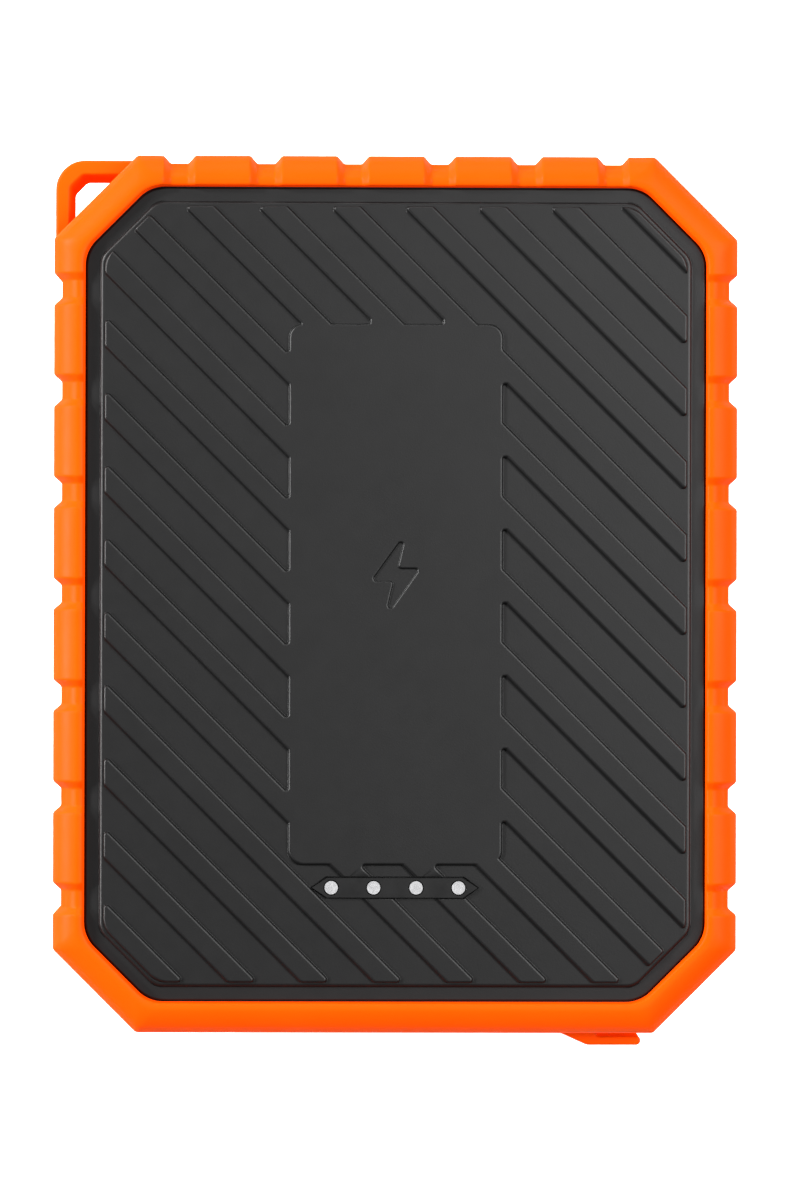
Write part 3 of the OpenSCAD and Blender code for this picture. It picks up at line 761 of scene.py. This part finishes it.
def meeting_point(first, second):
    """Where two moved edges meet, or halfway between their ends if they are nearly parallel."""
    cross = first[0].cross(second[0])
    if abs(cross) < 0.02:
        return (first[2] + second[1]) / 2
    return first[1] + first[0] * ((second[1] - first[1]).cross(second[0]) / cross)


def offset_loop(loop, steep, gentle):
    """The loop moved outwards from the face. Edges that would turn round are closed up."""
    edges = moved_edges(loop, steep, gentle)
    kept = list(range(len(loop)))
    while True:
        corners = [meeting_point(edges[a], edges[b]) for a, b in zip(kept, kept[1:] + kept[:1])]
        lengths = [(corners[k] - corners[k - 1]).dot(edges[e][0]) for k, e in enumerate(kept)]
        worst = min(range(len(kept)), key=lambda k: lengths[k])
        if lengths[worst] >= 0 or len(kept) < 4:
            break
        del kept[worst]
    # A point of the loop goes to the corner after the last edge kept before it.
    out = []
    k = len(kept) - 1
    for i in range(len(loop)):
        if i in kept:
            k = kept.index(i)
        out.append(corners[k])
    return out


def keep_inside(loop, inset):
    """The loop with every point pushed back inside the face's outline, moved in to this inset."""
    outline = octagon(inset, no_stations, radius=FACE_CORNER_R)
    for k in range(16):
        normal = unit(22.5 * k)
        loop = push_back(loop, normal, max(p.dot(normal) for p in outline))
    return loop


def push_back(loop, normal, limit):
    """The loop with the points past a line brought onto it, between the places where the loop crosses it."""
    n = len(loop)
    past = [p.dot(normal) > limit for p in loop]
    if not any(past) or all(past):
        return loop
    along = Vector((-normal.y, normal.x))

    def crossing(a, b):
        """Where the edge a-b crosses the line, as a distance along it."""
        t = (limit - a.dot(normal)) / (b.dot(normal) - a.dot(normal))
        return a.lerp(b, t).dot(along)

    out = list(loop)
    first = past.index(False)
    k = first
    while k < first + n:
        if not past[k % n]:
            k += 1
            continue
        end = k
        while past[end % n]:
            end += 1
        span = sorted([crossing(loop[(k - 1) % n], loop[k % n]),
                       crossing(loop[(end - 1) % n], loop[end % n])])
        for i in range(k, end):
            place = min(max(loop[i % n].dot(along), span[0]), span[1])
            out[i % n] = normal * limit + along * place
        k = end
    return out


def area_of(loop):
    return sum(a.x * b.y - a.y * b.x for a, b in zip(loop, loop[1:] + loop[:1])) / 2


class CoverMesh:
    """Collects rings and filled regions of the cover's outside."""

    def __init__(self):
        self.bm = bmesh.new()

    def ring(self, loop, z):
        """One vertex for each point of the loop. Points that coincide share theirs."""
        made = {}
        for p in loop:
            place = (round(p.x, 3), round(p.y, 3))
            if place not in made:
                made[place] = self.bm.verts.new((p.x * MM, p.y * MM, z * MM))
        return [made[round(p.x, 3), round(p.y, 3)] for p in loop]

    def join(self, first, second):
        n = len(first)
        for i in range(n):
            j = (i + 1) % n
            corners = list(dict.fromkeys((first[i], first[j], second[j], second[i])))
            if len(corners) > 2:
                self.bm.faces.new(corners)

    def fill(self, rings):
        """Fills the region between closed rings at one height, holes left open."""
        edges = []
        for ring in rings:
            for a, b in zip(ring, ring[1:] + ring[:1]):
                if a is not b:
                    edges.append(self.bm.edges.get((a, b)) or self.bm.edges.new((a, b)))
        return bmesh.ops.triangle_fill(self.bm, use_beauty=True, use_dissolve=False, edges=edges)


STEEP = {"tilt": math.radians(80), "edge_r": 0.36, "foot_r": 0.07}
GENTLE = {"tilt": math.radians(70), "edge_r": 0.40, "foot_r": 0.36}
LEVEL_STRIP = 0.04


def wall_reach(drop, depth, tilt, edge_r, foot_r):
    """Distance out from a wall's middle at this drop: an arc over the edge, a slope, an arc at the foot."""
    fall = 1 - math.cos(tilt)
    shrink = min(1, depth / ((edge_r + foot_r) * fall))
    edge_r, foot_r = edge_r * shrink, foot_r * shrink
    slope = (depth - (edge_r + foot_r) * fall) / math.tan(tilt)
    width = (edge_r + foot_r) * math.sin(tilt) + slope
    rise = depth - drop
    if drop <= edge_r * fall:
        place = math.sqrt(edge_r ** 2 - (edge_r - drop) ** 2)
    elif rise <= foot_r * fall:
        place = width - math.sqrt(foot_r ** 2 - (foot_r - rise) ** 2)
    else:
        place = edge_r * math.sin(tilt) + (drop - edge_r * fall) / math.tan(tilt)
    return place - width / 2


def wall_steps(depth, spread, lower_left):
    """A wall as (steep distance, gentle distance, drop), with a narrow level strip at each end.

    The strips keep the large faces beside the wall evenly shaded.
    """
    shares = (0, 0.01, 0.04, 0.1, 0.18, 0.29, 0.42, 0.55, 0.67, 0.78, 0.87, 0.93, 0.97, 0.99, 1)
    drops = [depth * share for share in shares]
    steps = [(wall_reach(d, depth, **STEEP) * spread, wall_reach(d, depth, **lower_left) * spread, d)
             for d in drops]
    first, last = steps[0], steps[-1]
    level = LEVEL_STRIP * spread
    return [(first[0] - level, first[1] - level, 0)] + steps + [(last[0] + level, last[1] + level, depth)]


def wall_rings(cover, loop, top, depth, spread=1.0, lower_left=GENTLE, limit=None):
    """Rings from the edge of a raised face down to its foot. A limit is the least inset of the foot."""
    steps = wall_steps(depth, spread, lower_left)
    rings = []
    for steep, gentle, drop in steps:
        moved = offset_loop(loop, steep, gentle)
        if limit:
            moved = keep_inside(moved, limit if steep == steps[-1][0] else limit + LEVEL_STRIP)
        rings.append(cover.ring(moved, top - drop))
    for a, b in zip(rings, rings[1:]):
        cover.join(a, b)
    return rings


def groove_cutter():
    """A solid that clears the strip's groove, flared a little where it meets the raised bands."""
    levels = [(STRIP_GAP, LOW_Z - 0.7), (STRIP_GAP, RAISED_Z - 0.08), (STRIP_GAP + 0.03, RAISED_Z - 0.02),
              (STRIP_GAP + 0.09, RAISED_Z + 0.01), (STRIP_GAP + 0.09, RAISED_Z + 1)]
    verts, faces = [], []
    for k, (grow, z) in enumerate(levels):
        verts += [Vector((*p, z)) for p in strip_outline(grow)]
        if k:
            faces += ring_faces(6 * k - 6, 6 * k, 6)
    faces += [tuple(range(6)), tuple(reversed(range(6 * len(levels) - 6, 6 * len(levels))))]
    mesh = mesh_mm("groove_cutter", verts, faces)
    recalculate(mesh)
    return mesh


def build_cover():
    cover = CoverMesh()
    marks, edges = [], []
    for loop in top_loops(nodes["front_cover"], RAISED_Z):
        centre = sum(loop, Vector((0, 0))) / len(loop)
        is_mark = area_of(loop) < 0 and centre.length < MARK_ZONE
        (marks if is_mark else edges).append(loop)
    tops, bases = [], []
    for loop in edges:
        rings = wall_rings(cover, round_loop(loop, 0.36, 0.4), RAISED_Z, RAISED_Z - LOW_Z,
                           limit=FACE_INSET + 0.38)
        tops.append(rings[0])
        bases.append(rings[-1])
    for loop in marks:
        rings = wall_rings(cover, round_loop(loop, 0.3, 0.45), RAISED_Z, MARK_DEPTH)
        tops.append(rings[0])
        cover.fill([rings[-1]])
    cover.fill(tops)

    def stations(side):
        return [-2, 0, 2] if side % 2 else [5 * i for i in range(-5, 6)]

    face_outline = octagon(FACE_INSET, stations, radius=FACE_CORNER_R)
    face_rings = wall_rings(cover, face_outline, LOW_Z, LOW_Z - RIM_Z, spread=1.3, lower_left=STEEP)
    cover.fill(bases + [face_rings[0]])
    # From the foot of the step: the rim, its rolled outer edge, the groove's floor and the hidden side.
    drop = fillet_path([(FACE_INSET - 0.4, RIM_Z, 0), (RIM_INSET, RIM_Z, 0.25), (RIM_INSET, LIP_Z - 0.1, 0.1),
                        (COVER_INSET, LIP_Z - 0.1, 0.2), (COVER_INSET, COVER_FOOT_Z, 0)], closed=False)
    previous = face_rings[-1]
    inner = COVER_INSET + 1.8
    for p in drop + [Vector((inner, COVER_FOOT_Z)), Vector((inner, COVER_FOOT_Z + 1.6))]:
        ring = cover.ring(octagon(p.x, stations), p.y)
        cover.join(previous, ring)
        previous = ring
    cover.fill([previous])
    bmesh.ops.recalc_face_normals(cover.bm, faces=cover.bm.faces)
    mesh = bpy.data.meshes.new("front_cover_face")
    cover.bm.to_mesh(mesh)
    cover.bm.free()
    mesh = joined_mesh(mesh, groove_cutter(), "DIFFERENCE")
    finish_piece("front_cover_face", mesh, shell, "case", ["front_cover"])


build_cover()

# ---- Port flap -----------------------------------------------------------------------------------

SKIN_T = 2.0
TAB_H = 8.0
TAB_L = 12.4
TAB_GAP = 1.0


def inset_corners(corners, inset):
    """A polygon's (x, y, radius) corners, anticlockwise, with every edge moved in by the inset."""
    out = []
    n = len(corners)
    for i, (x, y, r) in enumerate(corners):
        p = Vector((x, y))
        u = (p - Vector(corners[i - 1][:2])).normalized()
        v = (Vector(corners[(i + 1) % n][:2]) - p).normalized()
        turn = u.cross(v)
        inward = Vector((-u.y, u.x)) + Vector((-v.y, v.x))
        moved = p + inward * (inset / (1 + u.dot(v)))
        out.append((moved.x, moved.y, max(r - inset, 0.02) if turn > 0 else r + inset))
    return out


def rounded_prism(corners, low, high, edge, place, steps=5):
    """Vertices and faces of a rounded prism. place(p, h) puts the outline's point p at height h."""
    levels = []
    for k in range(steps + 1):
        a = math.radians(90 * k / steps)
        levels.append((edge * (1 - math.sin(a)), edge * (1 - math.cos(a))))
    rings = [(inset, low + h) for inset, h in levels] + [(inset, high - h) for inset, h in reversed(levels)]
    verts, faces = [], []
    n = 0
    for k, (inset, h) in enumerate(rings):
        outline = fillet_path(inset_corners(corners, inset))
        n = len(outline)
        verts += [place(p, h) for p in outline]
        if k:
            faces += ring_faces((k - 1) * n, k * n, n)
    faces += [tuple(range(n)), tuple(reversed(range((len(rings) - 1) * n, len(rings) * n)))]
    return verts, faces


def build_flap():
    """The flap's skin and its pull tab, which stands off the bumper at its free end."""
    y0 = -HALF_L
    mid_z = (FLAP_LOW.z + FLAP_HIGH.z) / 2
    end_x, y_out, y_in = FLAP_HIGH.x, FLAP_LOW.y, y0 - TAB_GAP
    skin = [(FLAP_LOW.x, FLAP_LOW.z, 0.5), (FLAP_END_X, FLAP_LOW.z, 0.5),
            (FLAP_END_X, FLAP_HIGH.z, 0.5), (FLAP_LOW.x, FLAP_HIGH.z, 0.5)]
    tab_x0 = end_x - TAB_L
    tab = [(tab_x0, y0 + 1.6, 0.1), (tab_x0, y0 + 0.1, 0.4), (tab_x0 + 5.0, y_out, 2.0), (end_x, y_out, 0.8),
           (end_x, y_in, 0.55), (FLAP_END_X - 0.5, y_in, 0.3), (FLAP_END_X - 0.5, y0 + 1.6, 0.1)]
    skin_verts, skin_faces = rounded_prism(skin, y0, y0 + SKIN_T, 0.3, lambda p, h: Vector((p.x, h, p.y)))
    tab_verts, tab_faces = rounded_prism(tab, mid_z - TAB_H / 2, mid_z + TAB_H / 2, 0.4,
                                         lambda p, h: Vector((p.x, p.y, h)))
    meshes = []
    for verts, faces in ((skin_verts, skin_faces), (tab_verts, tab_faces)):
        mesh = mesh_mm("port_flap_skin", verts, faces)
        recalculate(mesh)
        meshes.append(mesh)
    joined = joined_mesh(meshes[0], meshes[1], "UNION")
    finish_piece("port_flap_skin", joined, rubber, "flap", ["port_flap"])


build_flap()

# ---- CAD nodes kept as they are, with softened edges and real materials ---------------------------


def soften(node, width_mm, material, segments=3):
    obj = nodes[node]
    for polygon in obj.data.polygons:
        polygon.use_smooth = True
    weld = obj.modifiers.new("weld", "WELD")
    weld.merge_threshold = 2e-6
    flat = obj.modifiers.new("flat", "DECIMATE")
    flat.decimate_type = "DISSOLVE"
    flat.angle_limit = math.radians(0.5)
    bevel = obj.modifiers.new("bevel", "BEVEL")
    bevel.width = width_mm * MM
    bevel.segments = segments
    bevel.limit_method = "ANGLE"
    bevel.angle_limit = math.radians(30)
    weighted = obj.modifiers.new("normals", "WEIGHTED_NORMAL")
    weighted.weight = 60
    obj.data.materials.clear()
    obj.data.materials.append(material)
    return obj


soften("indicator_strip", 0.12, gloss_black)
soften("light_guide", 0.35, white_window, segments=5)
soften("button_cap", 0.3, gloss_black)

steel = metal("steel", (0.45, 0.44, 0.43), 0.3, edge_mm=0.1)
port_steel = metal("port_shell", (0.5, 0.49, 0.48), 0.28, edge_mm=0.1)
nickel = metal("nickel", (0.68, 0.66, 0.61), 0.32)
gold = metal("contact_gold", (0.83, 0.6, 0.25), 0.25)
copper = metal("copper_wire", (0.72, 0.3, 0.14), 0.35)
foil = metal("cell_foil", (0.62, 0.64, 0.67), 0.38)
can = metal("capacitor_can", (0.75, 0.75, 0.76), 0.3)
seal = moulded("seal_rubber", (0.012, 0.012, 0.012), 0.6, specular=0.2, edge_mm=0.1)
label = moulded("label_film", (0.014, 0.014, 0.015), 0.4, grain_mm=0.6, grain_depth=0.002)
port_white = moulded("port_white", (0.3, 0.3, 0.29), 0.4)
port_black = moulded("port_black", (0.006, 0.006, 0.006), 0.4)
board = moulded("board_green", (0.01, 0.12, 0.05), 0.3, grain_mm=0.8, grain_depth=0.003)
chip = moulded("chip_black", (0.02, 0.02, 0.02), 0.5)
ivory = moulded("switch_ivory", (0.75, 0.7, 0.58), 0.45)
led = moulded("led_body", (0.8, 0.75, 0.5), 0.25)
tan = moulded("capacitor_tan", (0.45, 0.3, 0.17), 0.5)
ferrite = moulded("ferrite", (0.06, 0.06, 0.065), 0.6, grain_mm=0.4, grain_depth=0.02)
red_wire = moulded("wire_red", (0.5, 0.01, 0.01), 0.45)
black_wire = moulded("wire_black", (0.02, 0.02, 0.02), 0.45)
foam = moulded("foam", (0.1, 0.1, 0.105), 0.9, grain_mm=0.5, grain_depth=0.08)
paper = moulded("fish_paper", (0.6, 0.56, 0.42), 0.8, grain_mm=0.4, grain_depth=0.02)

for node, material in {
    "rear_cover": inner_shell, "flap_core": inner_shell, "port_frame": inner_shell, "cover_gasket": seal,
    "rear_label": label, "case_screws": steel, "flap_seal": seal, "flap_hinge_pin": steel,
    "tact_switch": chip, "switch_plunger": ivory, "main_pcb": board, "pcb_screws": steel,
    "usb_a_shells": port_steel, "usb_a_tongues": port_white, "usb_a_contacts": gold,
    "usb_c_shell": port_steel, "usb_c_tongue": port_black, "usb_c_contacts": gold,
    "indicator_leds": led, "controller_ic": chip, "power_mosfets": chip, "ceramic_capacitors": tan,
    "polymer_capacitors": can, "inductor_core": ferrite, "inductor_winding": copper,
    "lower_cell": foil, "upper_cell": foil, "cell_tabs": nickel, "protection_board": board,
    "thermistor": chip, "positive_lead": red_wire, "negative_lead": black_wire, "cell_pads": foam,
    "insulation_sheet": paper,
}.items():
    nodes[node].data.materials.clear()
    nodes[node].data.materials.append(material)

# ---- Floor, light and camera ---------------------------------------------------------------------


def camera_ray(tree):
    """1 for what the camera sees directly and 0 for reflections and bounced light."""
    return tree.nodes.new("ShaderNodeLightPath").outputs["Is Camera Ray"]


floor_mesh = bpy.data.meshes.new("floor")
floor_mesh.from_pydata([(-3, -3, 0), (3, -3, 0), (3, 3, 0), (-3, 3, 0)], [], [(0, 1, 2, 3)])
floor = bpy.data.objects.new("floor", floor_mesh)
bpy.context.scene.collection.objects.link(floor)
floor_shader = Shader("floor_white")
# The floor glows towards the camera only, so that it looks white without lighting the part from below.
glow = floor_shader.scale_to(camera_ray(floor_shader.tree), 0.0, 0.7, from_low=0, from_high=1)
floor_shader.set(Base_Color=(0.86, 0.86, 0.86, 1), Roughness=0.7, Emission_Color=(1, 1, 1, 1),
                 Emission_Strength=glow)
floor_mesh.materials.append(floor_shader.material)


def area_light(name, azimuth, elevation, size, power):
    """A rectangular light 0.9 m away that faces the part. The azimuth is counted from +X towards +Y."""
    light = bpy.data.lights.new(name, "AREA")
    light.shape = "RECTANGLE"
    light.size, light.size_y = size
    light.energy = power
    obj = bpy.data.objects.new(name, light)
    flat = unit(azimuth) * math.cos(math.radians(elevation))
    direction = Vector((flat.x, flat.y, math.sin(math.radians(elevation))))
    obj.location = direction * 0.9 + Vector((0, 0, 0.02))
    obj.rotation_euler = (-direction).to_track_quat("-Z", "Y").to_euler()
    bpy.context.scene.collection.objects.link(obj)


area_light("left_key_upper", 150, 30, (0.13, 0.13), 10.7)
area_light("left_key", 180, 30, (0.13, 0.13), 9.9)
area_light("right_softbox", 15, 45, (0.75, 0.3), 9.3)
area_light("right_high_softbox", 20, 65, (0.5, 0.3), 4.2)
area_light("back_softbox", 90, 25, (0.4, 0.3), 2.4)

# The camera sees a pale backdrop as bright as the far floor. It lights the part only faintly.
world = bpy.data.worlds.new("studio")
bpy.context.scene.world = world
world.use_nodes = True
background = world.node_tree.nodes["Background"]
strength = world.node_tree.nodes.new("ShaderNodeMapRange")
strength.inputs["To Min"].default_value = 0.03
strength.inputs["To Max"].default_value = 0.72
world.node_tree.links.new(camera_ray(world.node_tree), strength.inputs["Value"])
world.node_tree.links.new(strength.outputs["Result"], background.inputs["Strength"])
background.inputs["Color"].default_value = (1, 1, 1, 1)

# The camera looks down from 0.6 m above the bumper's top, from a little to the left of the middle.
VIEW_HEIGHT = 0.1633
VIEW_DISTANCE = 0.6
VIEW_OFFSET = 0.0075
camera_data = bpy.data.cameras.new("camera")
camera_data.sensor_width = 36
camera_data.lens = 36 * VIEW_DISTANCE / VIEW_HEIGHT
camera_data.shift_x = 0.0042
camera_data.shift_y = -0.0047
camera_data.clip_end = 20
camera = bpy.data.objects.new("camera", camera_data)
camera.location = (-VIEW_OFFSET, 0, 0.0215 + VIEW_DISTANCE)
camera.rotation_euler = (0, -math.atan(VIEW_OFFSET / VIEW_DISTANCE), math.radians(0.15))
bpy.context.scene.collection.objects.link(camera)
bpy.context.scene.camera = camera
bpy.context.scene.view_settings.view_transform = "Standard"
